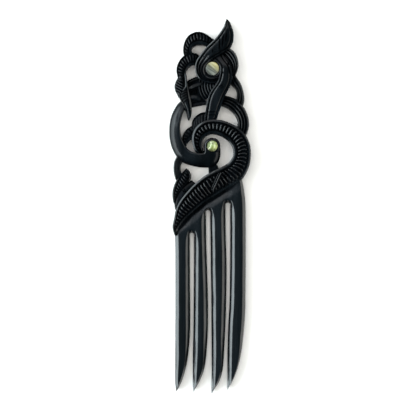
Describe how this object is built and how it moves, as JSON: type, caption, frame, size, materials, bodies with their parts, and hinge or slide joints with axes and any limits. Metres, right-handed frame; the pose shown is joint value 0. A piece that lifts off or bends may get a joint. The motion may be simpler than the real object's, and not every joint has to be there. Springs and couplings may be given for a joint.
{
  "type": "wooden hair comb",
  "caption": "Flat wooden hair comb with long tapered tines, a pierced interlaced head with notched bands, and round shell inlays.",
  "frame": {"origin": "centre of the comb's length and width, on the flat back that it lies on", "axes": "+Y along the comb from the tines to the carved head, +X across it to the right as seen from the front, +Z out of the carved front"},
  "size_m": [0.0392, 0.18, 0.007],
  "materials": {
    "black_wood": "satin",
    "grey_shell": "polished",
    "green_shell": "polished"
  },
  "bodies": {
    "root": {"comb": "black_wood", "upper_inlay": "grey_shell", "lower_inlay": "green_shell"}
  },
  "joints": []
}
